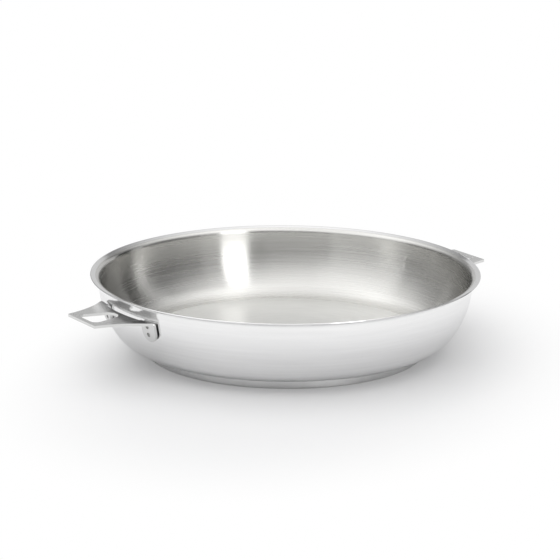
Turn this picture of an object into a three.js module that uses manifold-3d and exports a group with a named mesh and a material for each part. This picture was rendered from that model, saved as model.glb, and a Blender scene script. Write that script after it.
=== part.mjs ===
// Stainless frying pan with two welded loop lugs that take a clip-on handle.
// Millimetres, +Z up. The origin is the centre of the base underside, and the lugs lie along X.
import * as THREE from "three";
import { mergeVertices } from "three/addons/utils/BufferGeometryUtils.js";
import Module from "manifold-3d";

const wasm = await Module();
wasm.setup();

// Shell: one drawn sheet with a flat floor, a round corner, a curved wall and a flared pouring lip
const HEIGHT = 59.6; // base underside to the top of the lip
const RIM_RADIUS = 145.7; // outer edge of the lip
const SHELL_SHEET = 1.0;
const LIP_REACH = 6.0; // from the outside of the wall to the outer edge of the lip
const LIP_BEND_RADIUS = 2.5; // under the lip
const LIP_ANGLE = THREE.MathUtils.degToRad(15); // the lip climbs outwards
const CORNER_RADIUS = 21.5; // outside, where the wall turns into the floor
const CORNER_ANGLE = THREE.MathUtils.degToRad(37); // lean of the wall where the corner starts

// Base: an aluminium disc bonded under the floor, closed in by a pressed steel cap
const BASE_THICKNESS = 7.6; // base underside to the underside of the shell
const CAP_SHEET = 0.6;
const CAP_EDGE_RADIUS = 1.2;
const CAP_INSET = 3.7; // the cap stands this far inside the edge of the flat floor
const CAP_GROOVE = 0.4; // open line between the cap and the shell

// Lug: a sheet loop with a hole for the handle's catch, bent down into two ears on the wall
const LUG_SHEET = 2.0;
const LUG_DROP = 11.3; // top of the lip to the top of the lug
const LUG_REACH = 29.6; // from the outer edge of the lip to the outer edge of the lug
const LUG_EDGE_WIDTH = 38.4;
const LUG_CORNER_RADIUS = 1.0;
const LUG_SIDE_RADIUS = 75; // hollow curve of each side
const LUG_SHOULDER_RADIUS = 3; // where a side turns into an ear
const EAR_BEND_RADIUS = 0.5; // inside of the bend
const EAR_SPACING = 46; // between the inner edges of the two ears, at the bend
const EAR_WIDTH = 14.0;
const EAR_DROP = 15.2; // top of the lug to the tip of the ear
const EAR_TURN = THREE.MathUtils.degToRad(9); // of the bend, so that the ear stands off at its outer edge
const SLOT_SETBACK = 1.0; // the gap beside the wall stops this far past the line of the bend

// Hole in the lug: a rounded triangle with its point towards the wall
const HOLE_EDGE_MARGIN = 3.6; // bar between the hole and the outer edge of the lug
const HOLE_LENGTH = 25.7;
const HOLE_OUTER_WIDTH = 23.6;
const HOLE_OUTER_RADIUS = 4.5;
const HOLE_POINT_RADIUS = 8.5;

// Spot welds: two through each ear, one above the other, each with the print of the electrode
const WELD_RADIUS = 1.4;
const WELD_DROPS = { upper: 3.8, lower: 9.8 }; // top of the lug to the middle of each weld
const WELD_OFFSET = 0.7; // from the middle of the ear towards the other ear
const WELD_PRINT_DEPTH = 0.8;
const WELD_DISH = 0.15; // middle of the print below its rim

const CLEARANCE = 0.3; // between pieces that are fitted to each other
const MARGIN = 10; // by which a cutting solid runs past what it cuts

// Fineness of the round stretches
const ROUND_STEPS = 72;
const CORNER_STEPS = 5;
const WALL_STEPS = 6;
const BEND_STEPS = 4;
const LIP_EDGE_STEPS = 4;
const CAP_EDGE_STEPS = 5;
const OUTLINE_STEPS = 7;
const WELD_STEPS = 16;

const POLISHED_STEEL = { color: 0xdcdedf, metalness: 1, roughness: 0.16 };
const BRUSHED_STEEL = { color: 0xc4c6c6, metalness: 1, roughness: 0.3 };
const ALUMINIUM = { color: 0xb9bcc0, metalness: 1, roughness: 0.45 };

// Places worked out from the driving dimensions
const wallTopRadius = RIM_RADIUS - LIP_REACH;
const lipMidBend = LIP_BEND_RADIUS + SHELL_SHEET / 2;
const lipRun =
  (LIP_REACH - SHELL_SHEET / 2 - LIP_BEND_RADIUS + lipMidBend * Math.sin(LIP_ANGLE)) / Math.cos(LIP_ANGLE);
const lipRise = lipMidBend * Math.cos(LIP_ANGLE) + lipRun * Math.sin(LIP_ANGLE) + SHELL_SHEET / 2;
const wallTop = HEIGHT - lipRise;
const cornerRise = CORNER_RADIUS * (1 - Math.sin(CORNER_ANGLE));
const wallRadius = (wallTop - BASE_THICKNESS - cornerRise) / Math.sin(CORNER_ANGLE);
const wallCentre = wallTopRadius - wallRadius;
const floorRadius =
  wallTopRadius - wallRadius * (1 - Math.cos(CORNER_ANGLE)) - CORNER_RADIUS * Math.cos(CORNER_ANGLE);
const capRadius = floorRadius - CAP_INSET;

const lugTop = HEIGHT - LUG_DROP;
const lugEnd = RIM_RADIUS + LUG_REACH;
const earTip = lugTop - EAR_DROP;
const earBendOutside = EAR_BEND_RADIUS + LUG_SHEET;
const bendDistance = wallRadius + CLEARANCE + earBendOutside;
const bendLean = Math.asin((wallTop - lugTop + earBendOutside) / bendDistance);
const bendCentre = new THREE.Vector2(
  wallCentre + bendDistance * Math.cos(bendLean),
  lugTop - earBendOutside,
);

// Distances along the line of an ear's bend, from the place where the wall runs the same way
const earNear = (EAR_SPACING / 2 - bendCentre.x * Math.sin(EAR_TURN)) / Math.cos(EAR_TURN);
const earFar = earNear + EAR_WIDTH;
const earMiddle = earNear + EAR_WIDTH / 2;
const weldAlong = earMiddle - WELD_OFFSET;
const earSag = wallSag(Math.max(earNear, 0));
const bendReach = bendCentre.x - earSag;

// How far the wall falls back from a straight line at a distance along the line.
function wallSag(along) {
  return wallTopRadius - Math.sqrt(wallTopRadius ** 2 - along ** 2);
}

// A point at a distance and angle from a centre.
function polar(centre, radius, angle) {
  return new THREE.Vector2(centre.x + radius * Math.cos(angle), centre.y + radius * Math.sin(angle));
}

// Points of an arc, both ends included.
function arc(centre, radius, start, end, steps) {
  return Array.from({ length: steps + 1 }, (_, i) =>
    polar(centre, radius, start + ((end - start) * i) / steps),
  );
}

// A closed mesh as a solid that can be cut and joined.
function solidOf(geometry) {
  const bare = geometry.index ? geometry.toNonIndexed() : geometry.clone();
  bare.deleteAttribute("normal");
  bare.deleteAttribute("uv");
  const merged = mergeVertices(bare, 1e-4);
  const corners = merged.index.array;
  const kept = [];
  for (let i = 0; i < corners.length; i += 3) {
    const [a, b, c] = [corners[i], corners[i + 1], corners[i + 2]];
    if (a !== b && b !== c && c !== a) kept.push(a, b, c);
  }
  return new wasm.Manifold(
    new wasm.Mesh({
      numProp: 3,
      vertProperties: merged.attributes.position.array,
      triVerts: new Uint32Array(kept),
    }),
  );
}

// A solid as three.js geometry with flat shading.
function geometryOf(solid) {
  const mesh = solid.getMesh();
  const geometry = new THREE.BufferGeometry();
  geometry.setAttribute("position", new THREE.BufferAttribute(mesh.vertProperties, 3));
  geometry.setIndex(new THREE.BufferAttribute(mesh.triVerts, 1));
  const flat = geometry.toNonIndexed();
  flat.computeVertexNormals();
  return flat;
}

// A profile in radius and height turned about the Z axis.
function revolve(profile, steps = ROUND_STEPS) {
  return new THREE.LatheGeometry(profile, steps).rotateX(Math.PI / 2);
}

// A plan outline raised along Z.
function raise(outline, bottom, top) {
  const settings = { depth: top - bottom, bevelEnabled: false, curveSegments: OUTLINE_STEPS };
  return new THREE.ExtrudeGeometry(outline, settings).translate(0, 0, bottom);
}

// An outline in Y and Z pushed along X.
function push(outline, near, far) {
  const settings = { depth: far - near, bevelEnabled: false, curveSegments: OUTLINE_STEPS };
  const alongX = new THREE.Matrix4().makeBasis(
    new THREE.Vector3(0, 1, 0),
    new THREE.Vector3(0, 0, 1),
    new THREE.Vector3(1, 0, 0),
  );
  return new THREE.ExtrudeGeometry(outline, settings).applyMatrix4(alongX).translate(near, 0, 0);
}

function piece(name, geometry, finish) {
  const mesh = new THREE.Mesh(geometry, new THREE.MeshStandardMaterial(finish));
  mesh.name = name;
  return mesh;
}

// A point of the wall where it leans by the given angle, at a depth inside its outer face.
function wallPoint(lean, depth) {
  return polar(new THREE.Vector2(wallCentre, wallTop), wallRadius - depth, -lean);
}

// Lean of the wall's outer face at a height.
function wallLean(height) {
  return Math.asin((wallTop - height) / wallRadius);
}

// One face of the shell, from the axis to the end of the lip, at a depth inside its outer face.
function shellFace(depth) {
  const quarter = Math.PI / 2;
  const corner = new THREE.Vector2(floorRadius, BASE_THICKNESS + CORNER_RADIUS);
  const wall = new THREE.Vector2(wallCentre, wallTop);
  const lip = new THREE.Vector2(wallTopRadius + LIP_BEND_RADIUS, wallTop);
  const lipBend = arc(lip, LIP_BEND_RADIUS + depth, Math.PI, quarter + LIP_ANGLE, BEND_STEPS);
  const lipEnd = polar(lipBend.at(-1), lipRun, LIP_ANGLE);
  return [
    new THREE.Vector2(0, BASE_THICKNESS + depth),
    ...arc(corner, CORNER_RADIUS - depth, -quarter, -CORNER_ANGLE, CORNER_STEPS),
    ...arc(wall, wallRadius - depth, -CORNER_ANGLE, 0, WALL_STEPS).slice(1),
    ...lipBend.slice(1),
    lipEnd,
  ];
}

// Pan body: the drawn shell with the cut edge of its lip rounded off.
function panBody() {
  const outside = shellFace(0);
  const inside = shellFace(SHELL_SHEET);
  const lipCentre = outside.at(-1).clone().add(inside.at(-1)).multiplyScalar(0.5);
  const under = LIP_ANGLE - Math.PI / 2;
  const edge = arc(lipCentre, SHELL_SHEET / 2, under, under + Math.PI, LIP_EDGE_STEPS).slice(1, -1);
  return piece("pan_body", revolve([...outside, ...edge, ...inside.reverse()]), POLISHED_STEEL);
}

// The round lower edge that the core and both faces of the cap follow, ending in an upright side.
function baseFace(radius, edgeRadius, bottom, top) {
  const centre = new THREE.Vector2(radius - edgeRadius, bottom + edgeRadius);
  return [
    new THREE.Vector2(0, bottom),
    ...arc(centre, edgeRadius, -Math.PI / 2, 0, CAP_EDGE_STEPS),
    new THREE.Vector2(radius, top),
  ];
}

// Base cap: a shallow pressed dish of magnetic steel that the pan stands on.
function baseCap() {
  const top = BASE_THICKNESS - CAP_GROOVE;
  const outside = baseFace(capRadius, CAP_EDGE_RADIUS, 0, top);
  const inside = baseFace(capRadius - CAP_SHEET, CAP_EDGE_RADIUS - CAP_SHEET, CAP_SHEET, top);
  return piece("base_cap", revolve([...outside, ...inside.reverse()]), BRUSHED_STEEL);
}

// Heat core: the aluminium disc that fills the cap up to the underside of the shell.
function heatCore() {
  const radius = capRadius - CAP_SHEET - CLEARANCE;
  const side = baseFace(radius, CAP_EDGE_RADIUS - CAP_SHEET, CAP_SHEET, BASE_THICKNESS);
  return piece("heat_core", revolve([...side, new THREE.Vector2(0, BASE_THICKNESS)]), ALUMINIUM);
}

// Section of an ear square to its bend: a leg along the wall, the bend and the start of the flat plate.
function earSection() {
  const lowLean = wallLean(earTip - LUG_SHEET);
  const leans = Array.from(
    { length: WALL_STEPS + 1 },
    (_, i) => lowLean + ((bendLean - lowLean) * i) / WALL_STEPS,
  );
  const wallSide = leans.map((lean) => wallPoint(lean, -CLEARANCE));
  const openSide = leans.map((lean) => wallPoint(lean, -CLEARANCE - LUG_SHEET));
  const toWall = Math.PI - bendLean;
  const underBend = arc(bendCentre, EAR_BEND_RADIUS, toWall, Math.PI / 2, BEND_STEPS).slice(1);
  const overBend = arc(bendCentre, earBendOutside, Math.PI / 2, toWall, BEND_STEPS).slice(0, -1);
  const stub = bendCentre.x + LUG_SHEET;
  return [
    ...openSide,
    ...underBend,
    new THREE.Vector2(stub, lugTop - LUG_SHEET),
    new THREE.Vector2(stub, lugTop),
    ...overBend,
    ...wallSide.reverse(),
  ];
}

// Centre and end angles of the arc of a given radius that turns clockwise from one point to another.
function clockwiseArc(from, to, radius) {
  const half = to.clone().sub(from).multiplyScalar(0.5);
  const right = new THREE.Vector2(half.y, -half.x).normalize();
  const away = Math.sqrt(radius ** 2 - half.lengthSq());
  const centre = from.clone().add(half).addScaledVector(right, away);
  return { centre, start: from.clone().sub(centre).angle(), end: to.clone().sub(centre).angle() };
}

// Place in the plan of a point of an ear, given square to its bend and along it. side is 1 or -1.
function earPlan(reach, along, side) {
  return new THREE.Vector2(reach, side * along).rotateAround(new THREE.Vector2(), side * EAR_TURN);
}

// The hole: a round point towards the wall, two round corners and a straight outer side.
function lugHole() {
  const outer = lugEnd - HOLE_EDGE_MARGIN - HOLE_OUTER_RADIUS;
  const spread = HOLE_OUTER_WIDTH / 2 - HOLE_OUTER_RADIUS;
  const inner = lugEnd - HOLE_EDGE_MARGIN - HOLE_LENGTH + HOLE_POINT_RADIUS;
  const along = new THREE.Vector2(outer - inner, spread);
  const turn = along.angle() + Math.acos((HOLE_POINT_RADIUS - HOLE_OUTER_RADIUS) / along.length());
  const hole = new THREE.Path();
  hole.absarc(outer, -spread, HOLE_OUTER_RADIUS, -turn, 0, false);
  hole.absarc(outer, spread, HOLE_OUTER_RADIUS, 0, turn, false);
  hole.absarc(inner, 0, HOLE_POINT_RADIUS, turn, 2 * Math.PI - turn, false);
  return hole;
}

// Plan of the lug: hollow sides that spread to the ears, and a gap along the wall between the ears.
function lugPlan() {
  const edge = LUG_EDGE_WIDTH / 2;
  const within = bendReach - MARGIN;
  const rounded = bendReach - LUG_SHOULDER_RADIUS;
  const slotRadius = bendCentre.x + SLOT_SETBACK;
  const slotTurn = earPlan(Math.sqrt(slotRadius ** 2 - earNear ** 2), earNear, 1).angle();
  const nearCorner = new THREE.Vector2(lugEnd - LUG_CORNER_RADIUS, -edge);
  const farCorner = new THREE.Vector2(lugEnd - LUG_CORNER_RADIUS, edge);
  const nearShoulder = earPlan(bendReach, earFar, -1);
  const farShoulder = earPlan(bendReach, earFar, 1);
  const nearSide = clockwiseArc(nearShoulder, nearCorner, LUG_SIDE_RADIUS);
  const farSide = clockwiseArc(farCorner, farShoulder, LUG_SIDE_RADIUS);
  const roundTurn = LUG_SHOULDER_RADIUS / LUG_SIDE_RADIUS;
  const nearRound = polar(nearSide.centre, LUG_SIDE_RADIUS, nearSide.start - roundTurn);
  const plan = new THREE.Shape();
  const goTo = (place) => plan.lineTo(place.x, place.y);
  const farRounded = earPlan(rounded, earFar, 1);
  plan.moveTo(...earPlan(within, earFar, -1));
  goTo(earPlan(rounded, earFar, -1));
  plan.quadraticCurveTo(nearShoulder.x, nearShoulder.y, nearRound.x, nearRound.y);
  plan.absarc(...nearSide.centre, LUG_SIDE_RADIUS, nearSide.start - roundTurn, nearSide.end, true);
  plan.quadraticCurveTo(lugEnd, -edge, lugEnd, -edge + LUG_CORNER_RADIUS);
  plan.lineTo(lugEnd, edge - LUG_CORNER_RADIUS);
  plan.quadraticCurveTo(lugEnd, edge, farCorner.x, edge);
  plan.absarc(...farSide.centre, LUG_SIDE_RADIUS, farSide.start, farSide.end + roundTurn, true);
  plan.quadraticCurveTo(farShoulder.x, farShoulder.y, farRounded.x, farRounded.y);
  goTo(earPlan(within, earFar, 1));
  goTo(earPlan(within, earNear, 1));
  plan.absarc(0, 0, slotRadius, slotTurn, -slotTurn, true);
  goTo(earPlan(within, earNear, -1));
  plan.holes.push(lugHole());
  return plan;
}

// Front of one ear, with a full round tip.
function earFront(middle) {
  const round = EAR_WIDTH / 2;
  const front = new THREE.Shape();
  front.moveTo(middle + round, lugTop + MARGIN);
  front.lineTo(middle - round, lugTop + MARGIN);
  front.absarc(middle, earTip + round, round, Math.PI, 2 * Math.PI, false);
  return front;
}

// Place of a weld on the lug that points along +X: on the wall side of the ear, square to the ear.
function weldPlace(side, drop) {
  const lean = wallLean(lugTop - drop);
  const { x: reach, y: height } = wallPoint(lean, -CLEARANCE);
  const up = new THREE.Vector3(0, 0, 1);
  const outwards = new THREE.Vector3(Math.cos(lean), 0, -Math.sin(lean)).applyAxisAngle(up, side * EAR_TURN);
  const spot = earPlan(reach - earSag, weldAlong, side);
  const place = new THREE.Object3D();
  place.position.set(spot.x, spot.y, height);
  place.quaternion.setFromUnitVectors(up, outwards);
  place.updateMatrix();
  return place;
}

// One ear of the lug that points along +X, with its bend and the start of the plate.
function earSolid(side) {
  const sheet = raise(new THREE.Shape(earSection()), -earFar, -earNear).rotateX(Math.PI / 2);
  const front = push(earFront(earMiddle), 0, lugEnd);
  const ear = solidOf(sheet).intersect(solidOf(front));
  const placed = side > 0 ? ear : ear.mirror([0, 1, 0]);
  const degrees = THREE.MathUtils.radToDeg(side * EAR_TURN);
  return placed.translate([-earSag, 0, 0]).rotate([0, 0, degrees]);
}

// What the plate leaves out where the bend of an ear begins.
function bendSpace(side) {
  const space = new THREE.BoxGeometry(2 * MARGIN, EAR_WIDTH + MARGIN, MARGIN);
  space.translate(bendReach - MARGIN, side * earMiddle, lugTop);
  return solidOf(space.rotateZ(side * EAR_TURN));
}

// Lug that points along +X: a flat plate joined to its two bent ears, with the weld holes cut.
function lugGeometry() {
  const plan = lugPlan();
  const outline = solidOf(raise(plan, earTip - MARGIN, lugTop + MARGIN));
  let lug = solidOf(raise(plan, lugTop - LUG_SHEET, lugTop));
  for (const side of [-1, 1]) {
    lug = lug.subtract(bendSpace(side)).add(earSolid(side).intersect(outline));
    for (const drop of Object.values(WELD_DROPS)) {
      const hole = new THREE.CylinderGeometry(
        WELD_RADIUS + CLEARANCE,
        WELD_RADIUS + CLEARANCE,
        MARGIN,
        WELD_STEPS,
      );
      hole.rotateX(Math.PI / 2).applyMatrix4(weldPlace(side, drop).matrix);
      lug = lug.subtract(solidOf(hole));
    }
  }
  return geometryOf(lug);
}

// Spot weld: metal of ear and wall run together across the gap between them, dished by the electrode.
function weldGeometry() {
  const foot = earSag - wallSag(weldAlong - WELD_RADIUS);
  const rim = LUG_SHEET - WELD_PRINT_DEPTH;
  const flat = WELD_RADIUS - WELD_DISH;
  return revolve(
    [
      new THREE.Vector2(0, foot),
      new THREE.Vector2(WELD_RADIUS, foot),
      new THREE.Vector2(WELD_RADIUS, rim),
      new THREE.Vector2(flat, rim),
      new THREE.Vector2(0, rim - WELD_DISH),
    ],
    WELD_STEPS,
  );
}

// One lug with its welds, on the side of the pan that the turn gives.
// frontSide is the side of the lug that comes to face -Y.
function lugGroup(name, turn, frontSide) {
  const group = new THREE.Group();
  group.rotation.z = turn;
  group.add(piece(`lug_${name}`, lugGeometry(), POLISHED_STEEL));
  for (const side of [-1, 1]) {
    const facing = side === frontSide ? "front" : "back";
    for (const [level, drop] of Object.entries(WELD_DROPS)) {
      const weld = piece(`weld_${name}_${facing}_${level}`, weldGeometry(), BRUSHED_STEEL);
      const place = weldPlace(side, drop);
      weld.position.copy(place.position);
      weld.quaternion.copy(place.quaternion);
      group.add(weld);
    }
  }
  return group;
}

const pan = new THREE.Group();
pan.add(panBody(), heatCore(), baseCap());
pan.add(lugGroup("right", 0, -1), lugGroup("left", Math.PI, 1));

export default pan;
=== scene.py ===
"""Stainless frying pan with two welded lugs for a clip-on handle, dressed for a studio render."""
import math

import bpy
from mathutils import Matrix, Quaternion, Vector
from mathutils.geometry import delaunay_2d_cdt


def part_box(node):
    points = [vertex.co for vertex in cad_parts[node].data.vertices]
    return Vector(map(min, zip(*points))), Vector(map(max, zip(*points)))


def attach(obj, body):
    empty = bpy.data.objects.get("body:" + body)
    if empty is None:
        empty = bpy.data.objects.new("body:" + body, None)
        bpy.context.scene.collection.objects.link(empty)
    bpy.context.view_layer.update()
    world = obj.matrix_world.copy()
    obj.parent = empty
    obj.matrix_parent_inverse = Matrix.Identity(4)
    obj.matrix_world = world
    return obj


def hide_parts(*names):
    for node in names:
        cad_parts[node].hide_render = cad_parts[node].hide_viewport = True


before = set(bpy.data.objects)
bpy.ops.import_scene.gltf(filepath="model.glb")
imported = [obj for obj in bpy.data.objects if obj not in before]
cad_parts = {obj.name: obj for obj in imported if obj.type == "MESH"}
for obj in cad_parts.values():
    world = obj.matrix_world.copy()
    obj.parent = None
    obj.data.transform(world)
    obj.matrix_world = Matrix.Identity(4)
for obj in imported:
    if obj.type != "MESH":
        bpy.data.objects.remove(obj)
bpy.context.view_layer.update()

MM = 0.001
QUARTER = math.pi / 2

# Sizes that the frame gives
shell_low, shell_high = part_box("pan_body")
cap_low, cap_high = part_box("base_cap")
core_low, core_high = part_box("heat_core")
lug_low, lug_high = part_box("lug_right")
HEIGHT = shell_high.z
RIM_RADIUS = shell_high.x
SHELL_BOTTOM = shell_low.z
CAP_RADIUS = cap_high.x
CAP_TOP = cap_high.z
CORE_RADIUS = core_high.x
LUG_END = lug_high.x
LUG_TOP = lug_high.z
EAR_TIP = lug_low.z

# Drawn shell
SHELL_SHEET = 1.0 * MM
LIP_REACH = 6.0 * MM
LIP_BEND_RADIUS = 2.5 * MM
LIP_ANGLE = math.radians(15)
CORNER_RADIUS = 21.5 * MM
CORNER_ANGLE = math.radians(37)

# Base
CAP_SHEET = 0.6 * MM
CAP_EDGE_RADIUS = 1.2 * MM
CAP_RIM_RADIUS = 0.25 * MM

# Lug
LUG_SHEET = 2.0 * MM
LUG_EDGE_WIDTH = 38.4 * MM
LUG_CORNER_RADIUS = 1.0 * MM
LUG_SIDE_RADIUS = 75 * MM
LUG_SHOULDER_RADIUS = 3 * MM
LUG_EDGE_BEVEL = 0.3 * MM
EAR_BEND_RADIUS = 0.5 * MM
EAR_SPACING = 46 * MM
EAR_WIDTH = 14.0 * MM
EAR_TURN = math.radians(9)
SLOT_SETBACK = 1.0 * MM
HOLE_EDGE_MARGIN = 3.6 * MM
HOLE_LENGTH = 25.7 * MM
HOLE_OUTER_WIDTH = 23.6 * MM
HOLE_OUTER_RADIUS = 4.5 * MM
HOLE_POINT_RADIUS = 8.5 * MM

# Spot welds
WELD_RADIUS = 1.65 * MM
WELD_DROPS = {"upper": 3.8 * MM, "lower": 9.8 * MM}
WELD_OFFSET = 0.7 * MM
WELD_PRINT_DEPTH = 1.0 * MM
WELD_DISH = 0.2 * MM
WELD_RING = 0.2 * MM
INNER_PRINT_RADIUS = 2.4 * MM
INNER_PRINT_DEPTH = 0.10 * MM
CLEARANCE = 0.3 * MM

# Fineness of the round pieces
ROUND_STEP = math.radians(1.25)
WELD_ROUND_STEP = math.radians(9)
PRINT_STEP = math.radians(0.25)
PRINT_REACH = math.radians(2.5)
NEAR_EDGE_SHARE = 0.97
FLOOR_RINGS = 14
INNER_CORNER_STEPS = 18
INNER_WALL_STEPS = 46
UNDERSIDE_RINGS = 6
OUTER_CORNER_STEPS = 14
OUTER_WALL_STEPS = 24
LIP_BEND_STEPS = 10
LIP_STEPS = 6
LIP_EDGE_STEPS = 10
CAP_RINGS = 8
HIDDEN_RINGS = 4
BASE_EDGE_STEPS = 14
BASE_SIDE_STEPS = 3
CAP_RIM_STEPS = 4
WELD_FOOT_RINGS = 2
WELD_SIDE_STEPS = 3
WELD_RING_STEPS = 6
WELD_RING_CUT = 0.2
WELD_DISH_RINGS = 6
ON_AXIS = 1e-9

# Fineness of the lugs
LUG_CORNER_STEPS = 6
LUG_SIDE_STEPS = 36
SHOULDER_STEPS = 10
SHOULDER_SIDE_MARGIN = 1.2
SHOULDER_EAR_MARGIN = 1.1
LEG_STEPS = 8
EAR_TIP_STEPS = 24
SLOT_STEPS = 20
HOLE_CORNER_STEPS = 12
HOLE_POINT_STEPS = 20
WELD_HOLE_STEPS = 24
EAR_COLUMNS = 12
EAR_ROWS = 10
BEND_ROWS = 6
FILL_GAP = 0.45 * MM
SAME_POINT = 1e-7
SAME_LINE = 1e-6
BEVEL_STEPS = 3
BEVEL_LEAST_ANGLE = math.radians(40)

# Places worked out from the sizes
wall_top_radius = RIM_RADIUS - LIP_REACH
lip_mid_bend = LIP_BEND_RADIUS + SHELL_SHEET / 2
lip_level = LIP_REACH - SHELL_SHEET / 2 - LIP_BEND_RADIUS + lip_mid_bend * math.sin(LIP_ANGLE)
lip_run = lip_level / math.cos(LIP_ANGLE)
lip_rise = lip_mid_bend * math.cos(LIP_ANGLE) + lip_run * math.sin(LIP_ANGLE) + SHELL_SHEET / 2
wall_top = HEIGHT - lip_rise
corner_rise = CORNER_RADIUS * (1 - math.sin(CORNER_ANGLE))
wall_radius = (wall_top - SHELL_BOTTOM - corner_rise) / math.sin(CORNER_ANGLE)
wall_centre = Vector((wall_top_radius - wall_radius, wall_top))
corner_run = CORNER_RADIUS * math.cos(CORNER_ANGLE)
floor_radius = wall_top_radius - wall_radius * (1 - math.cos(CORNER_ANGLE)) - corner_run
bend_outside = EAR_BEND_RADIUS + LUG_SHEET
bend_distance = wall_radius + CLEARANCE + bend_outside
bend_lean = math.asin((wall_top - LUG_TOP + bend_outside) / bend_distance)
bend_centre = Vector((wall_centre.x + bend_distance * math.cos(bend_lean), LUG_TOP - bend_outside))
bend_length = (EAR_BEND_RADIUS + LUG_SHEET / 2) * (QUARTER - bend_lean)
leg_radius = wall_radius + CLEARANCE + LUG_SHEET / 2

# Distances along the line of an ear's bend, from the place where the wall runs the same way
ear_near = (EAR_SPACING / 2 - bend_centre.x * math.sin(EAR_TURN)) / math.cos(EAR_TURN)
ear_far = ear_near + EAR_WIDTH
ear_middle = ear_near + EAR_WIDTH / 2
weld_along = ear_middle - WELD_OFFSET


def wall_sag(along):
    """How far the wall falls back from a straight line at a distance along the line."""
    return wall_top_radius - math.sqrt(wall_top_radius**2 - along**2)


ear_sag = wall_sag(max(ear_near, 0))
bend_reach = bend_centre.x - ear_sag


def polar(centre, radius, angle):
    """The point at a distance and angle from a centre, in a plane."""
    return Vector((centre[0] + radius * math.cos(angle), centre[1] + radius * math.sin(angle)))


def arc(centre, radius, start, end, steps):
    """Points of an arc, both ends included."""
    return [polar(centre, radius, start + (end - start) * i / steps) for i in range(steps + 1)]


def span(start, end, steps):
    """Points along a straight line, both ends included."""
    return [start.lerp(end, i / steps) for i in range(steps + 1)]


def piece_from(name, points, faces, finishes=None):
    """A smooth mesh object at the origin. finishes gives each face's material index."""
    mesh = bpy.data.meshes.new(name)
    mesh.from_pydata([tuple(p) for p in points], [], faces)
    mesh.polygons.foreach_set("use_smooth", [True] * len(mesh.polygons))
    if finishes:
        mesh.polygons.foreach_set("material_index", finishes)
    mesh.update()
    piece = bpy.data.objects.new(name, mesh)
    bpy.context.scene.collection.objects.link(piece)
    return piece


def even_turns(step=ROUND_STEP):
    """Angles all the way round."""
    count = round(2 * math.pi / step)
    return [2 * math.pi * i / count for i in range(count)]


def turned(name, profile, turns, finishes=None):
    """A profile in radius and height, turned about Z. It starts and ends on the axis or closes on itself.
    finishes gives the material index of the strip after each point."""
    open_profile = profile[0].x < ON_AXIS
    points = []
    rows = []
    for place in profile:
        if place.x < ON_AXIS:
            rows.append([len(points)] * len(turns))
            points.append(Vector((0, 0, place.y)))
            continue
        rows.append([len(points) + i for i in range(len(turns))])
        points += [Vector((place.x * math.cos(t), place.x * math.sin(t), place.y)) for t in turns]
    if not open_profile:
        rows.append(rows[0])
    faces = []
    indices = []
    for level, (low, high) in enumerate(zip(rows, rows[1:])):
        for i in range(len(turns)):
            after = (i + 1) % len(turns)
            ring = dict.fromkeys([low[i], low[after], high[after], high[i]])
            faces.append(list(ring))
            indices.append(finishes[level] if finishes else 0)
    return piece_from(name, points, faces, indices)


# Pan shell

def ear_plan(reach, along, side):
    """Place in the plan of a point of an ear, given square to its bend and along it. side is 1 or -1."""
    turn = side * EAR_TURN
    across = side * along
    return Vector((
        reach * math.cos(turn) - across * math.sin(turn),
        reach * math.sin(turn) + across * math.cos(turn),
    ))


def weld_place(lug_turn, side, drop):
    """Matrix of a weld: on the wall side of the ear, with Z pointing out of the ear."""
    lean = math.asin((wall_top - LUG_TOP + drop) / wall_radius)
    on_ear = polar(wall_centre, wall_radius + CLEARANCE, -lean)
    spot = ear_plan(on_ear.x - ear_sag, weld_along, side)
    heading = ear_plan(1, 0, side)
    outwards = Vector((heading.x, heading.y, -math.tan(lean)))
    facing = outwards.to_track_quat("Z", "Y").to_matrix().to_4x4()
    return Matrix.Rotation(lug_turn, 4, "Z") @ Matrix.Translation((spot.x, spot.y, on_ear.y)) @ facing


WELDS = {}
for level, weld_drop in WELD_DROPS.items():
    WELDS["weld_right_front_" + level] = weld_place(0, -1, weld_drop)
    WELDS["weld_right_back_" + level] = weld_place(0, 1, weld_drop)
    WELDS["weld_left_front_" + level] = weld_place(math.pi, 1, weld_drop)
    WELDS["weld_left_back_" + level] = weld_place(math.pi, -1, weld_drop)


def shell_turns():
    """Angles round the shell, closer together where the welds print through."""
    turns = even_turns()
    for place in [WELDS[name] for name in WELDS if name.endswith("upper")]:
        middle = math.atan2(place.translation.y, place.translation.x) % (2 * math.pi)
        turns = [t for t in turns if abs(t - middle) > PRINT_REACH]
        count = round(PRINT_REACH / PRINT_STEP)
        turns += [(middle + PRINT_STEP * i) % (2 * math.pi) for i in range(-count, count + 1)]
    return sorted(turns)


def shell_face(depth, floor_rings, corner_steps, wall_steps):
    """One face of the shell from the axis to the end of the lip, as floor-to-wall and lip points."""
    corner = Vector((floor_radius, SHELL_BOTTOM + CORNER_RADIUS))
    lip_centre = Vector((wall_top_radius + LIP_BEND_RADIUS, wall_top))
    level = SHELL_BOTTOM + depth
    floor = span(Vector((0, level)), Vector((floor_radius, level)), floor_rings)
    near_edge = floor[-2].lerp(floor[-1], NEAR_EDGE_SHARE)
    bowl = floor[:-1] + [near_edge]
    bowl += arc(corner, CORNER_RADIUS - depth, -QUARTER, -CORNER_ANGLE, corner_steps)
    bowl += arc(wall_centre, wall_radius - depth, -CORNER_ANGLE, 0, wall_steps)[1:]
    bend = arc(lip_centre, LIP_BEND_RADIUS + depth, math.pi, QUARTER + LIP_ANGLE, LIP_BEND_STEPS)[1:]
    lip = span(bend[-1], polar(bend[-1], lip_run, LIP_ANGLE), LIP_STEPS)[1:]
    return bowl, bend + lip


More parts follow.
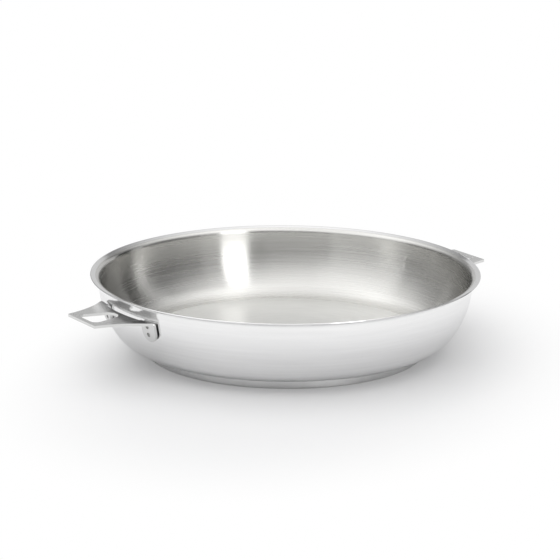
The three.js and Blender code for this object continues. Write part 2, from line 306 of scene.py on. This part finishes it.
def press_prints(shell):
    """Presses the weld prints into the inner wall, which lies one sheet inside the outer face."""
    outer_face = ear_sag - CLEARANCE - wall_sag(weld_along)
    inner_face = outer_face - SHELL_SHEET
    for place in WELDS.values():
        inward = place.inverted()
        outwards = place.to_3x3() @ Vector((0, 0, 1))
        for vertex in shell.data.vertices:
            local = inward @ vertex.co
            if abs(local.z - inner_face) > SHELL_SHEET / 2:
                continue
            share = math.hypot(local.x, local.y) / INNER_PRINT_RADIUS
            if share < 1:
                vertex.co += outwards * INNER_PRINT_DEPTH * (1 - share**2) ** 2


def pan_shell(floor, satin, polished):
    """The drawn shell: matt floor, brushed wall, and polished outside and on the lip."""
    inner_bowl, inner_lip = shell_face(SHELL_SHEET, FLOOR_RINGS, INNER_CORNER_STEPS, INNER_WALL_STEPS)
    outer_bowl, outer_lip = shell_face(0, UNDERSIDE_RINGS, OUTER_CORNER_STEPS, OUTER_WALL_STEPS)
    edge_centre = (inner_lip[-1] + outer_lip[-1]) / 2
    edge_start = LIP_ANGLE + QUARTER
    edge = arc(edge_centre, SHELL_SHEET / 2, edge_start, edge_start - math.pi, LIP_EDGE_STEPS)[1:-1]
    profile = inner_bowl + inner_lip + edge + outer_lip[::-1] + outer_bowl[::-1]
    wall_strips = len(inner_bowl) - FLOOR_RINGS + LIP_BEND_STEPS - 1
    finishes = [0] * (FLOOR_RINGS + 1) + [1] * wall_strips + [2] * len(profile)
    turns = shell_turns()
    shell = turned("pan_shell", profile[::-1], turns, finishes[len(profile) - 2::-1])
    press_prints(shell)
    for finish in (floor, satin, polished):
        shell.data.materials.append(finish)
    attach(shell, "root")
    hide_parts("pan_body")


# Base

def base_face(radius, edge_radius, bottom, top, rings):
    """Outline of the base from the axis: a flat underside, a round edge and an upright side."""
    centre = Vector((radius - edge_radius, bottom + edge_radius))
    flat = span(Vector((0, bottom)), Vector((radius - edge_radius, bottom)), rings)
    near_edge = flat[-2].lerp(flat[-1], NEAR_EDGE_SHARE)
    edge = arc(centre, edge_radius, -QUARTER, 0, BASE_EDGE_STEPS)
    side = span(Vector((radius, bottom + edge_radius)), Vector((radius, top)), BASE_SIDE_STEPS)[1:]
    return flat[:-1] + [near_edge] + edge + side


def base_cap(finish):
    """The pressed steel dish that the pan stands on."""
    rim = CAP_RIM_RADIUS
    outside = base_face(CAP_RADIUS, CAP_EDGE_RADIUS, cap_low.z, CAP_TOP - rim, CAP_RINGS)
    rim_edge = arc((CAP_RADIUS - rim, CAP_TOP - rim), rim, 0, QUARTER, CAP_RIM_STEPS)[1:]
    inner_radius = CAP_RADIUS - CAP_SHEET
    inner_edge = CAP_EDGE_RADIUS - CAP_SHEET
    inside = base_face(inner_radius, inner_edge, cap_low.z + CAP_SHEET, CAP_TOP, HIDDEN_RINGS)
    cap = turned("cap_dish", outside + rim_edge + inside[::-1], even_turns())
    cap.data.materials.append(finish)
    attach(cap, "root")
    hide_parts("base_cap")


def heat_core(finish):
    """The aluminium disc inside the cap, seen only in the groove under the shell."""
    edge_radius = CAP_EDGE_RADIUS - CAP_SHEET
    side = base_face(CORE_RADIUS, edge_radius, core_low.z, core_high.z, HIDDEN_RINGS)
    core = turned("core_disc", side + [Vector((0, core_high.z))], even_turns())
    core.data.materials.append(finish)
    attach(core, "root")
    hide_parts("heat_core")


# Lugs

def slack_at(height):
    """Distance past the bend line at which the ear reaches a height.

    A lug is laid out flat in its plan. Past the bend line, distance towards the axis of the pan
    stands for distance down the ear."""
    return bend_length + (math.asin((wall_top - height) / leg_radius) - bend_lean) * leg_radius


def laid_out(along, slack):
    """Place in the flat layout of a point of the far ear, a distance past its bend line."""
    return ear_plan(bend_reach - slack, along, 1)


def bent(flat, depth):
    """Place in space of a point of the flat layout, at a depth under the top face of the lug."""
    side = 1 if flat.y >= 0 else -1
    square = ear_plan(1, 0, side)
    reach = flat.dot(square)
    along = side * (square.x * flat.y - square.y * flat.x)
    slack = bend_reach - reach
    if slack <= 0 or along < ear_near - SAME_LINE:
        return Vector((flat.x, flat.y, LUG_TOP - depth))
    if slack <= bend_length:
        turn = QUARTER + slack / (EAR_BEND_RADIUS + LUG_SHEET / 2)
        section = polar(bend_centre, bend_outside - depth, turn)
    else:
        lean = bend_lean + (slack - bend_length) / leg_radius
        section = polar(wall_centre, wall_radius + CLEARANCE + depth, -lean)
    spot = ear_plan(section.x - ear_sag, along, side)
    return Vector((spot.x, spot.y, section.y))


def bowed(start, end, radius, steps):
    """Points of an arc from start to end that turns clockwise."""
    half = (end - start) / 2
    right = Vector((half.y, -half.x)).normalized()
    centre = start + half + right * math.sqrt(radius**2 - half.length_squared)
    first = math.atan2(start.y - centre.y, start.x - centre.x)
    last = math.atan2(end.y - centre.y, end.x - centre.x)
    sweep = (first - last) % (2 * math.pi)
    return arc(centre, radius, first, first - sweep, steps)


def eased(start, corner, end, steps):
    """Points of a curve that rounds off a corner, both ends included."""
    points = []
    for i in range(steps + 1):
        share = i / steps
        points.append(start.lerp(corner, share).lerp(corner.lerp(end, share), share))
    return points


def lug_half_outline():
    """Outline of the far half of the lug, from its outer edge to the slot along the wall."""
    edge = LUG_EDGE_WIDTH / 2
    corner = (LUG_END - LUG_CORNER_RADIUS, edge - LUG_CORNER_RADIUS)
    round_slack = slack_at(EAR_TIP + EAR_WIDTH / 2)
    bend_slacks = [bend_length * i / BEND_ROWS for i in range(BEND_ROWS + 1)]
    leg = round_slack - bend_length
    leg_slacks = [bend_length + leg * i / LEG_STEPS for i in range(1, LEG_STEPS + 1)]
    slacks = bend_slacks + leg_slacks
    shoulder = laid_out(ear_far, 0)
    outline = arc(corner, LUG_CORNER_RADIUS, 0, QUARTER, LUG_CORNER_STEPS)
    side = bowed(outline[-1], shoulder, LUG_SIDE_RADIUS, LUG_SIDE_STEPS)[1:]
    side_gap = SHOULDER_SIDE_MARGIN * LUG_SHOULDER_RADIUS
    outline += [p for p in side if (p - shoulder).length > side_gap]
    side_end = shoulder + (outline[-1] - shoulder).normalized() * LUG_SHOULDER_RADIUS
    outline += eased(side_end, shoulder, laid_out(ear_far, LUG_SHOULDER_RADIUS), SHOULDER_STEPS)
    ear_gap = SHOULDER_EAR_MARGIN * LUG_SHOULDER_RADIUS
    outline += [laid_out(ear_far, s) for s in slacks if s > ear_gap]
    for i in range(1, EAR_TIP_STEPS):
        angle = -math.pi * i / EAR_TIP_STEPS
        along = ear_middle + EAR_WIDTH / 2 * math.cos(angle)
        height = EAR_TIP + EAR_WIDTH / 2 * (1 + math.sin(angle))
        outline.append(laid_out(along, slack_at(height)))
    outline += [laid_out(ear_near, s) for s in reversed(slacks)]
    slot_radius = bend_centre.x + SLOT_SETBACK
    slot_end = ear_plan(math.sqrt(slot_radius**2 - ear_near**2), ear_near, 1)
    slot_turn = math.atan2(slot_end.y, slot_end.x)
    outline += [polar((0, 0), slot_radius, slot_turn * (1 - i / SLOT_STEPS)) for i in range(SLOT_STEPS)]
    return outline


def lug_hole():
    """The rounded triangle for the handle's catch, with its point towards the wall."""
    outer = LUG_END - HOLE_EDGE_MARGIN - HOLE_OUTER_RADIUS
    spread = HOLE_OUTER_WIDTH / 2 - HOLE_OUTER_RADIUS
    inner = LUG_END - HOLE_EDGE_MARGIN - HOLE_LENGTH + HOLE_POINT_RADIUS
    along = Vector((outer - inner, spread))
    taper = math.acos((HOLE_POINT_RADIUS - HOLE_OUTER_RADIUS) / along.length)
    turn = math.atan2(along.y, along.x) + taper
    hole = arc((outer, -spread), HOLE_OUTER_RADIUS, -turn, 0, HOLE_CORNER_STEPS)
    hole += arc((outer, spread), HOLE_OUTER_RADIUS, 0, turn, HOLE_CORNER_STEPS)
    return hole + arc((inner, 0), HOLE_POINT_RADIUS, turn, 2 * math.pi - turn, HOLE_POINT_STEPS)


def weld_hole(side, drop):
    """The hole that a weld fills, in the flat layout of one ear."""
    slack = slack_at(LUG_TOP - drop)
    hole = []
    for i in range(WELD_HOLE_STEPS):
        angle = 2 * math.pi * i / WELD_HOLE_STEPS
        along = weld_along + WELD_RADIUS * math.cos(angle)
        spot = laid_out(along, slack + WELD_RADIUS * math.sin(angle))
        hole.append(Vector((spot.x, side * spot.y)))
    return hole


def within(spot, loop):
    """True if a point lies inside a closed loop of points."""
    inside = False
    for a, b in zip(loop, loop[1:] + loop[:1]):
        if (a.y > spot.y) != (b.y > spot.y):
            crossing = a.x + (spot.y - a.y) / (b.y - a.y) * (b.x - a.x)
            inside = inside != (spot.x < crossing)
    return inside


def clear_of(spot, loops, gap):
    """True if a point is farther than gap from every point of the loops."""
    return all((spot - p).length > gap for loop in loops for p in loop)


def ear_fill(side):
    """Inner points of one ear in the flat layout, row by row down the bend and the leg."""
    bend_rows = [bend_length * i / BEND_ROWS for i in range(BEND_ROWS + 1)]
    leg_end = slack_at(EAR_TIP)
    leg_rows = [bend_length + (leg_end - bend_length) * i / EAR_ROWS for i in range(1, EAR_ROWS)]
    points = []
    for slack in bend_rows + leg_rows:
        for column in range(1, EAR_COLUMNS):
            spot = laid_out(ear_near + EAR_WIDTH * column / EAR_COLUMNS, slack)
            points.append(Vector((spot.x, side * spot.y)))
    return points


def lug_blank():
    """Points and triangles of the lug's flat layout."""
    half = lug_half_outline()
    outline = half + [Vector((p.x, -p.y)) for p in reversed(half)]
    holes = [lug_hole()]
    holes += [weld_hole(side, drop) for side in (-1, 1) for drop in WELD_DROPS.values()]
    loops = [outline] + holes
    points = []
    edges = []
    for loop in loops:
        first = len(points)
        points += loop
        edges += [(first + i, first + (i + 1) % len(loop)) for i in range(len(loop))]
    for side in (-1, 1):
        fill = [p for p in ear_fill(side) if clear_of(p, loops, FILL_GAP)]
        points += [p for p in fill if within(p, outline) and not any(within(p, h) for h in holes)]
    spots, _, triangles, _, _, _ = delaunay_2d_cdt(points, edges, [], 0, SAME_POINT)
    kept = []
    for triangle in triangles:
        middle = sum((spots[i] for i in triangle), Vector((0, 0))) / len(triangle)
        if within(middle, outline) and not any(within(middle, hole) for hole in holes):
            kept.append(list(triangle))
    return spots, kept


def facing_up(spots, triangle):
    """The triangle with its corners running anticlockwise."""
    a, b, c = (spots[i] for i in triangle)
    area = (b.x - a.x) * (c.y - a.y) - (b.y - a.y) * (c.x - a.x)
    return triangle if area > 0 else triangle[::-1]


def lug_sheet(name, turn):
    """The bent lug as a closed sheet with softened edges, turned to its side of the pan."""
    spots, triangles = lug_blank()
    triangles = [facing_up(spots, t) for t in triangles]
    count = len(spots)
    rotation = Matrix.Rotation(turn, 3, "Z")
    points = [rotation @ bent(p, 0) for p in spots]
    points += [rotation @ bent(p, LUG_SHEET) for p in spots]
    faces = triangles + [[i + count for i in reversed(t)] for t in triangles]
    sides = {(t[i], t[(i + 1) % 3]) for t in triangles for i in range(3)}
    faces += [[b, a, a + count, b + count] for a, b in sorted(sides) if (b, a) not in sides]
    lug = piece_from(name, points, faces)
    soften = lug.modifiers.new("edges", "BEVEL")
    soften.width = LUG_EDGE_BEVEL
    soften.segments = BEVEL_STEPS
    soften.limit_method = "ANGLE"
    soften.angle_limit = BEVEL_LEAST_ANGLE
    soften.harden_normals = True
    softened = lug.evaluated_get(bpy.context.evaluated_depsgraph_get())
    applied = bpy.data.meshes.new_from_object(softened)
    lug.modifiers.clear()
    lug.data = applied
    return lug


def make_lug(name, node, turn, finish):
    """A lug with its finish, in the place of its node."""
    lug = lug_sheet(name, turn)
    lug.data.materials.clear()
    lug.data.materials.append(finish)
    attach(lug, "root")
    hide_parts(node)


def make_weld(node, place, finish):
    """A spot weld: a plug across the gap and the ear, with a dished print and a raised ring round it."""
    foot = ear_sag - wall_sag(weld_along - WELD_RADIUS)
    face = LUG_SHEET - WELD_PRINT_DEPTH
    dish = WELD_RADIUS - 2 * WELD_RING
    centre = Vector((dish + WELD_RING / 2, face - WELD_DISH / 2))
    foot_edge = Vector((WELD_RADIUS, foot))
    profile = span(Vector((0, foot)), foot_edge, WELD_FOOT_RINGS)
    profile += span(foot_edge, Vector((WELD_RADIUS, face - WELD_DISH)), WELD_SIDE_STEPS)[1:]
    profile += [Vector((centre.x + WELD_RING, face - WELD_DISH / 2))]
    profile += arc(centre, WELD_RING / 2, WELD_RING_CUT, math.pi - WELD_RING_CUT, WELD_RING_STEPS)
    for i in range(WELD_DISH_RINGS + 1):
        share = i / WELD_DISH_RINGS
        profile.append(Vector((dish * (1 - share), face - WELD_DISH - WELD_DISH * share / 2)))
    weld = turned(node + "_print", profile, even_turns(WELD_ROUND_STEP))
    weld.data.transform(place)
    weld.data.materials.append(finish)
    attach(weld, "root")
    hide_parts(node)


# Finishes

NOISE_LOW = 0.3
NOISE_HIGH = 0.7
BRUSH_TURN = 0.25
WHITE = (1, 1, 1, 1)


def add(tree, kind, inputs=None, **settings):
    """A shader node with its settings made and its inputs set to values or linked to sockets."""
    node = tree.nodes.new(kind)
    for name, value in settings.items():
        setattr(node, name, value)
    for key, value in (inputs or {}).items():
        if isinstance(value, bpy.types.NodeSocket):
            tree.links.new(value, node.inputs[key])
        else:
            node.inputs[key].default_value = value
    return node


def empty_material(name):
    """A material with an output and nothing else."""
    material = bpy.data.materials.new(name)
    material.use_nodes = True
    material.node_tree.nodes.clear()
    return material


def streaks(tree, spacing, repeats, detail):
    """Grey streaks that run round the Z axis, a spacing apart and broken a few times in each round."""
    place = add(tree, "ShaderNodeTexCoord").outputs["Object"]
    split = add(tree, "ShaderNodeSeparateXYZ", {0: place})
    flat = add(tree, "ShaderNodeCombineXYZ", {0: split.outputs[0], 1: split.outputs[1]})
    radius = add(tree, "ShaderNodeVectorMath", {0: flat.outputs[0]}, operation="LENGTH")
    heading = add(tree, "ShaderNodeVectorMath", {0: flat.outputs[0]}, operation="NORMALIZE")
    around = add(tree, "ShaderNodeVectorMath", {0: heading.outputs[0], "Scale": repeats}, operation="SCALE")
    along = add(tree, "ShaderNodeMath", {0: radius.outputs["Value"], 1: split.outputs[2]}, operation="ADD")
    line = add(tree, "ShaderNodeMath", {0: along.outputs[0], 1: 1 / spacing}, operation="MULTIPLY")
    rise = add(tree, "ShaderNodeCombineXYZ", {2: line.outputs[0]})
    spot = add(tree, "ShaderNodeVectorMath", {0: around.outputs[0], 1: rise.outputs[0]}, operation="ADD")
    noise = add(tree, "ShaderNodeTexNoise", {"Vector": spot.outputs[0], "Scale": 1.0, "Detail": detail})
    return noise.outputs["Fac"]


def specks(tree, size, detail):
    """Grey blotches of a size in metres."""
    place = add(tree, "ShaderNodeTexCoord").outputs["Object"]
    noise = add(tree, "ShaderNodeTexNoise", {"Vector": place, "Scale": 1 / size, "Detail": detail})
    return noise.outputs["Fac"]


def ranged(tree, value, low, high):
    """A noise value spread over a range."""
    spread = add(tree, "ShaderNodeMapRange", {0: value, 1: NOISE_LOW, 2: NOISE_HIGH, 3: low, 4: high})
    return spread.outputs[0]


def tinted(tree, value, dark, light):
    """A noise value as a colour between two."""
    ramp = add(tree, "ShaderNodeValToRGB", {0: value})
    ramp.color_ramp.elements[0].position = NOISE_LOW
    ramp.color_ramp.elements[0].color = (*dark, 1)
    ramp.color_ramp.elements[1].position = NOISE_HIGH
    ramp.color_ramp.elements[1].color = (*light, 1)
    return ramp.outputs[0]


def metal(name, colours, roughness, pattern, relief, bump, anisotropy):
    """A steel or aluminium finish. pattern drives the colour and the roughness, relief the bump."""
    material = empty_material(name)
    tree = material.node_tree
    broad = pattern(tree)
    height = relief(tree)
    raised = add(tree, "ShaderNodeBump", {"Strength": 1.0, "Distance": bump, "Height": height})
    tangent = add(tree, "ShaderNodeTangent", direction_type="RADIAL", axis="Z")
    surface = add(tree, "ShaderNodeBsdfPrincipled", {
        "Base Color": tinted(tree, broad, *colours),
        "Metallic": 1.0,
        "Roughness": ranged(tree, broad, *roughness),
        "Anisotropic": anisotropy,
        "Anisotropic Rotation": BRUSH_TURN,
        "Tangent": tangent.outputs[0],
        "Normal": raised.outputs[0],
    })
    add(tree, "ShaderNodeOutputMaterial", {"Surface": surface.outputs[0]})
    return material


def floor_finish():
    """Matt rings on the floor of the pan."""
    return metal(
        "matt_floor",
        colours=((0.75, 0.75, 0.735), (0.80, 0.80, 0.785)),
        roughness=(0.40, 0.46),
        pattern=lambda tree: streaks(tree, spacing=2.6 * MM, repeats=4.0, detail=3.0),
        relief=lambda tree: streaks(tree, spacing=0.7 * MM, repeats=12.0, detail=2.0),
        bump=0.002 * MM,
        anisotropy=0.0,
    )


def satin_finish():
    """The wall inside, brushed round and round."""
    return metal(
        "satin_wall",
        colours=((0.705, 0.70, 0.68), (0.755, 0.75, 0.73)),
        roughness=(0.245, 0.275),
        pattern=lambda tree: streaks(tree, spacing=0.8 * MM, repeats=1.6, detail=0.5),
        relief=lambda tree: streaks(tree, spacing=0.5 * MM, repeats=5.0, detail=2.0),
        bump=0.0002 * MM,
        anisotropy=1.0,
    )


def polished_finish():
    """The bright outside and lip."""
    return metal(
        "polished_outside",
        colours=((0.87, 0.87, 0.87), (0.91, 0.91, 0.91)),
        roughness=(0.11, 0.15),
        pattern=lambda tree: streaks(tree, spacing=3.0 * MM, repeats=2.0, detail=2.0),
        relief=lambda tree: streaks(tree, spacing=0.8 * MM, repeats=5.0, detail=1.0),
        bump=0.001 * MM,
        anisotropy=0.4,
    )


def lug_finish():
    """Lug steel, tumbled smooth."""
    return metal(
        "tumbled_lug",
        colours=((0.68, 0.68, 0.675), (0.74, 0.74, 0.735)),
        roughness=(0.20, 0.26),
        pattern=lambda tree: specks(tree, size=8 * MM, detail=3.0),
        relief=lambda tree: specks(tree, size=3.0 * MM, detail=2.0),
        bump=0.0005 * MM,
        anisotropy=0.0,
    )


def base_finish():
    """The cap, turned in circles."""
    return metal(
        "turned_base",
        colours=((0.86, 0.86, 0.855), (0.91, 0.91, 0.905)),
        roughness=(0.34, 0.40),
        pattern=lambda tree: streaks(tree, spacing=2.0 * MM, repeats=2.0, detail=2.0),
        relief=lambda tree: streaks(tree, spacing=0.6 * MM, repeats=5.0, detail=1.0),
        bump=0.001 * MM,
        anisotropy=0.3,
    )


def core_finish():
    """Rolled aluminium."""
    return metal(
        "rolled_core",
        colours=((0.60, 0.61, 0.63), (0.70, 0.71, 0.73)),
        roughness=(0.40, 0.52),
        pattern=lambda tree: specks(tree, size=3 * MM, detail=3.0),
        relief=lambda tree: specks(tree, size=0.6 * MM, detail=2.0),
        bump=0.01 * MM,
        anisotropy=0.0,
    )


def weld_finish():
    """The slightly matt print of a spot weld."""
    return metal(
        "pressed_weld",
        colours=((0.50, 0.50, 0.49), (0.62, 0.62, 0.61)),
        roughness=(0.28, 0.40),
        pattern=lambda tree: specks(tree, size=1.5 * MM, detail=3.0),
        relief=lambda tree: specks(tree, size=0.5 * MM, detail=2.0),
        bump=0.02 * MM,
        anisotropy=0.0,
    )


# Studio

CAMERA_TURN = math.radians(-34.3)
CAMERA_CLIMB = math.radians(14.61)
CAMERA_DISTANCE = 1811 * MM
CAMERA_LENS = 155.7
CAMERA_ROLL = math.radians(0.37)
CAMERA_SIGHT = 50
AIM_LEFT = 4.05 * MM
AIM_BELOW = 6.91 * MM
FLOOR_SIZE = 8.0
FLOOR_COLOUR = (0.83, 0.83, 0.835, 1)
SHADOW_RIGHT = 11 * MM
SHADOW_FRONT = 50.5 * MM
SHADOW_TURN = math.radians(-19.6)
SHADOW_WIDTH_SHARE = 0.69
SHADOW_REACH = (0.156, 0.312)
FLOOR_GLOW = 0.18
MIRRORED_REACH = (0.14, 0.34)
MIRRORED_GLOW = 0.03
CEILING_CLIMBS = (math.radians(20), math.radians(62))
CEILING_LEAN = math.radians(7)
ROOM_LEVEL = 0.02
CEILING_LEVEL = 1.60
ZENITH_SHARE = 0.70


def towards(turn, climb):
    """Direction from the pan: turn is to the right of the camera, climb above the horizon, in radians."""
    angle = CAMERA_TURN + turn
    return Vector((
        math.sin(angle) * math.cos(climb),
        -math.cos(angle) * math.cos(climb),
        math.sin(climb),
    ))


def make_camera():
    """The camera where the photograph was taken from."""
    lens = bpy.data.cameras.new("camera")
    lens.lens = CAMERA_LENS
    camera = bpy.data.objects.new("camera", lens)
    bpy.context.scene.collection.objects.link(camera)
    rim_centre = Vector((0, 0, HEIGHT))
    back = towards(0, CAMERA_CLIMB)
    camera.location = rim_centre + back * CAMERA_DISTANCE
    right = towards(QUARTER, 0)
    up = back.cross(right)
    aim = rim_centre - right * AIM_LEFT - up * AIM_BELOW
    look = (aim - camera.location).to_track_quat("-Z", "Y")
    camera.rotation_mode = "QUATERNION"
    camera.rotation_quaternion = look @ Matrix.Rotation(CAMERA_ROLL, 3, "Z").to_quaternion()
    lens.clip_end = CAMERA_SIGHT
    bpy.context.scene.camera = camera


def softbox(name, turn, climb, distance, size, brightness, roll=0):
    """A soft upright lamp that may lean sideways. size is width and height. Angles are in degrees."""
    lamp = bpy.data.lights.new(name, "AREA")
    lamp.shape = "RECTANGLE"
    lamp.size, lamp.size_y = size
    lamp.energy = brightness * math.pi * size[0] * size[1]
    box = bpy.data.objects.new(name, lamp)
    bpy.context.scene.collection.objects.link(box)
    out = towards(math.radians(turn), math.radians(climb))
    box.location = out * distance + Vector((0, 0, HEIGHT))
    box.rotation_mode = "QUATERNION"
    upright = Vector((-out.x, -out.y, 0)).to_track_quat("-Z", "Y")
    box.rotation_quaternion = upright @ Quaternion((0, 0, 1), math.radians(roll))
    box.visible_camera = False


def make_lamps():
    """The strips and panels that the steel mirrors."""
    softbox("right_strip", turn=36.6, climb=26, distance=1.7,
            size=(0.49, 1.6), brightness=2.5, roll=-6.5)
    softbox("right_glow", turn=53, climb=16, distance=1.9,
            size=(0.4, 1.1), brightness=0.25)
    softbox("right_back_strip", turn=113, climb=24, distance=1.9,
            size=(0.33, 1.5), brightness=0.46)
    softbox("front_fill", turn=-6, climb=16, distance=2.4,
            size=(1.6, 1.2), brightness=0.10)
    softbox("left_panel", turn=-58, climb=12, distance=1.9,
            size=(2.0, 0.8), brightness=0.41)
    softbox("left_high_panel", turn=-58, climb=38, distance=1.9,
            size=(2.0, 0.9), brightness=0.21)
    softbox("backdrop", turn=164, climb=12, distance=2.4,
            size=(2.6, 1.0), brightness=0.61)
    softbox("backdrop_left", turn=-150, climb=12, distance=2.4,
            size=(1.6, 1.0), brightness=0.22)


def white_share(tree, place, reach, glow, ray):
    """How white the floor is to one kind of ray: glow beside the pan, and 1 past the shadow's reach."""
    away = add(tree, "ShaderNodeVectorMath", {0: place}, operation="LENGTH").outputs["Value"]
    far = add(tree, "ShaderNodeMapRange", {0: away, 1: reach[0], 2: reach[1], 3: glow})
    far.interpolation_type = "SMOOTHSTEP"
    return add(tree, "ShaderNodeMath", {0: far.outputs[0], 1: ray}, operation="MULTIPLY").outputs[0]


def make_floor():
    """A pale floor that keeps the pan's shadow and turns white away from it."""
    half = FLOOR_SIZE / 2
    corners = [(-half, -half, 0), (half, -half, 0), (half, half, 0), (-half, half, 0)]
    floor = piece_from("floor", corners, [[0, 1, 2, 3]])
    material = empty_material("pale_floor")
    tree = material.node_tree
    place = add(tree, "ShaderNodeTexCoord").outputs["Object"]
    shadow_centre = towards(QUARTER, 0) * SHADOW_RIGHT + towards(0, 0) * SHADOW_FRONT
    oval = add(tree, "ShaderNodeMapping", {
        "Vector": place,
        "Location": shadow_centre,
        "Rotation": (0, 0, CAMERA_TURN + SHADOW_TURN),
        "Scale": (SHADOW_WIDTH_SHARE, 1, 1),
    }, vector_type="TEXTURE")
    path = add(tree, "ShaderNodeLightPath")
    seen = white_share(tree, oval.outputs[0], SHADOW_REACH, FLOOR_GLOW, path.outputs["Is Camera Ray"])
    mirrored = white_share(tree, place, MIRRORED_REACH, MIRRORED_GLOW, path.outputs["Is Glossy Ray"])
    share = add(tree, "ShaderNodeMath", {0: seen, 1: mirrored}, operation="MAXIMUM")
    matt = add(tree, "ShaderNodeBsdfDiffuse", {"Color": FLOOR_COLOUR})
    white = add(tree, "ShaderNodeEmission", {"Color": WHITE, "Strength": 1.0})
    both = add(tree, "ShaderNodeMixShader", {0: share.outputs[0], 1: matt.outputs[0], 2: white.outputs[0]})
    add(tree, "ShaderNodeOutputMaterial", {"Surface": both.outputs[0]})
    floor.data.materials.append(material)


def make_world():
    """White to the camera, and to all else a dim room under a wide soft ceiling that leans left."""
    world = bpy.data.worlds.new("studio")
    world.use_nodes = True
    tree = world.node_tree
    tree.nodes.clear()
    path = add(tree, "ShaderNodeLightPath")
    heading = add(tree, "ShaderNodeTexCoord").outputs["Generated"]
    axis = towards(-QUARTER, QUARTER - CEILING_LEAN)
    climb = add(tree, "ShaderNodeVectorMath", {0: heading, 1: axis}, operation="DOT_PRODUCT")
    ceiling = add(tree, "ShaderNodeMapRange", {
        0: climb.outputs["Value"],
        1: math.sin(CEILING_CLIMBS[0]),
        2: math.sin(CEILING_CLIMBS[1]),
        3: ROOM_LEVEL,
        4: CEILING_LEVEL,
    })
    zenith = add(tree, "ShaderNodeMapRange", {
        0: climb.outputs["Value"],
        1: math.sin(CEILING_CLIMBS[1]),
        2: 1.0,
        3: 1.0,
        4: ZENITH_SHARE,
    })
    level = add(tree, "ShaderNodeMath", {0: ceiling.outputs[0], 1: zenith.outputs[0]}, operation="MULTIPLY")
    room = add(tree, "ShaderNodeBackground", {"Color": WHITE, "Strength": level.outputs[0]})
    white = add(tree, "ShaderNodeBackground", {"Color": WHITE, "Strength": 1.0})
    mix = add(tree, "ShaderNodeMixShader", {
        0: path.outputs["Is Camera Ray"],
        1: room.outputs[0],
        2: white.outputs[0],
    })
    add(tree, "ShaderNodeOutputWorld", {"Surface": mix.outputs[0]})
    bpy.context.scene.world = world


# Making

make_camera()
make_floor()
make_world()
make_lamps()
bpy.context.scene.view_settings.view_transform = "Standard"

pan_shell(floor_finish(), satin_finish(), polished_finish())
base_cap(base_finish())
heat_core(core_finish())
lug_steel = lug_finish()
make_lug("lug_right_sheet", "lug_right", 0, lug_steel)
make_lug("lug_left_sheet", "lug_left", math.pi, lug_steel)
weld_steel = weld_finish()
for weld_node, weld_matrix in WELDS.items():
    make_weld(weld_node, weld_matrix, weld_steel)
